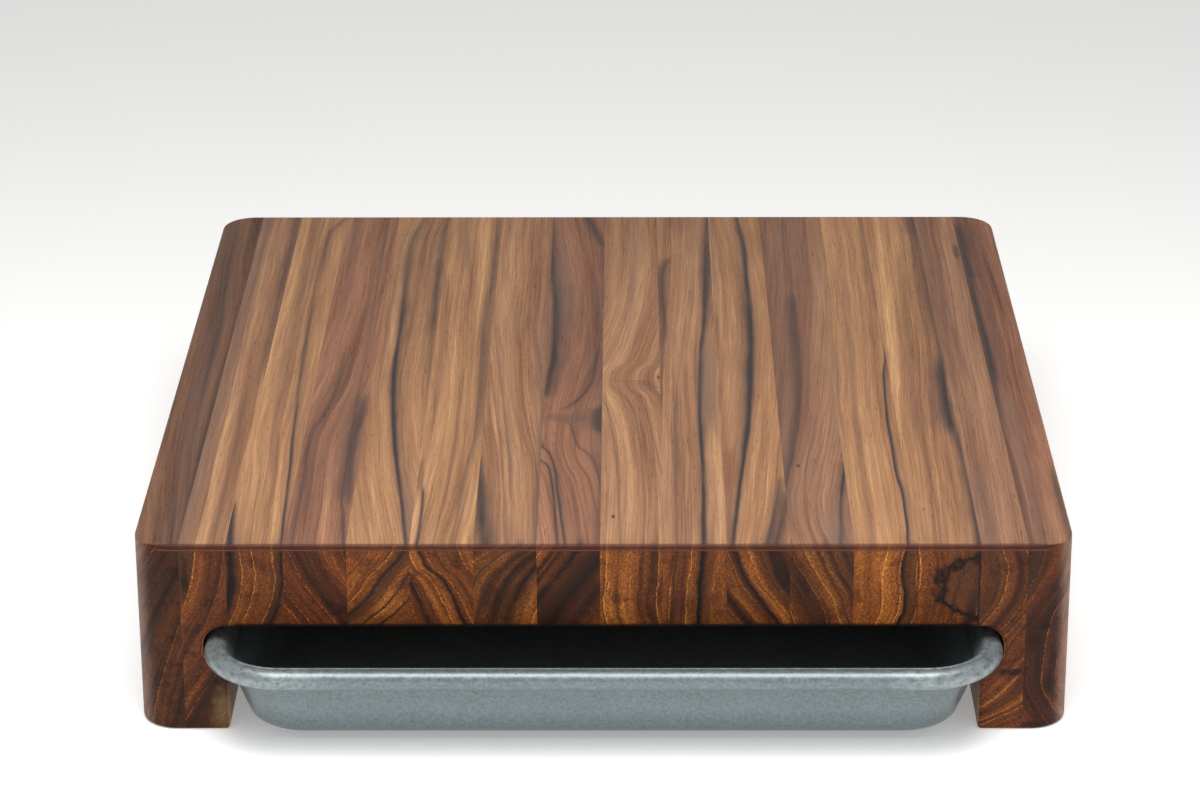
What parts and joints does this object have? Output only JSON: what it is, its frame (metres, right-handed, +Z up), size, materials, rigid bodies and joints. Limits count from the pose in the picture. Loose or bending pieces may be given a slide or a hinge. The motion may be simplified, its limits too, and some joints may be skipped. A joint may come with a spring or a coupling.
{
  "type": "cutting board with drawer trays",
  "caption": "Thick edge-glued wooden chopping board on two legs, with shallow metal trays that slide out from under both ends.",
  "frame": {"origin": "on the floor at the middle of the board, halfway between the legs and between the front and rear faces", "axes": "+X to the right seen from the front tray, +Y towards the rear tray, along the grain and the trays' travel, +Z up"},
  "size_m": [0.285, 0.3482, 0.062],
  "materials": {
    "teak": "oiled, satin",
    "tray_aluminium": "natural drawn aluminium, satin",
    "rim_wire_steel": "plain drawn wire"
  },
  "bodies": {
    "board": {"left_leg_outer_stave": "teak", "left_leg_inner_stave": "teak", "middle_stave_01": "teak", "middle_stave_02": "teak", "middle_stave_03": "teak", "middle_stave_04": "teak", "middle_stave_05": "teak", "middle_stave_06": "teak", "middle_stave_07": "teak", "middle_stave_08": "teak", "middle_stave_09": "teak", "middle_stave_10": "teak", "middle_stave_11": "teak", "middle_stave_12": "teak", "right_leg_inner_stave": "teak", "right_leg_outer_stave": "teak"},
    "front_tray": {"front_tray_pan": "tray_aluminium", "front_tray_rim_wire": "rim_wire_steel"},
    "rear_tray": {"rear_tray_pan": "tray_aluminium", "rear_tray_rim_wire": "rim_wire_steel"}
  },
  "joints": [
    {"name": "front_tray_slide", "type": "slide", "parent": "board", "child": "front_tray", "axis": [0, -1, 0], "range_m": [0, 0.115]},
    {"name": "rear_tray_slide", "type": "slide", "parent": "board", "child": "rear_tray", "axis": [0, 1, 0], "range_m": [0, 0.115]}
  ]
}
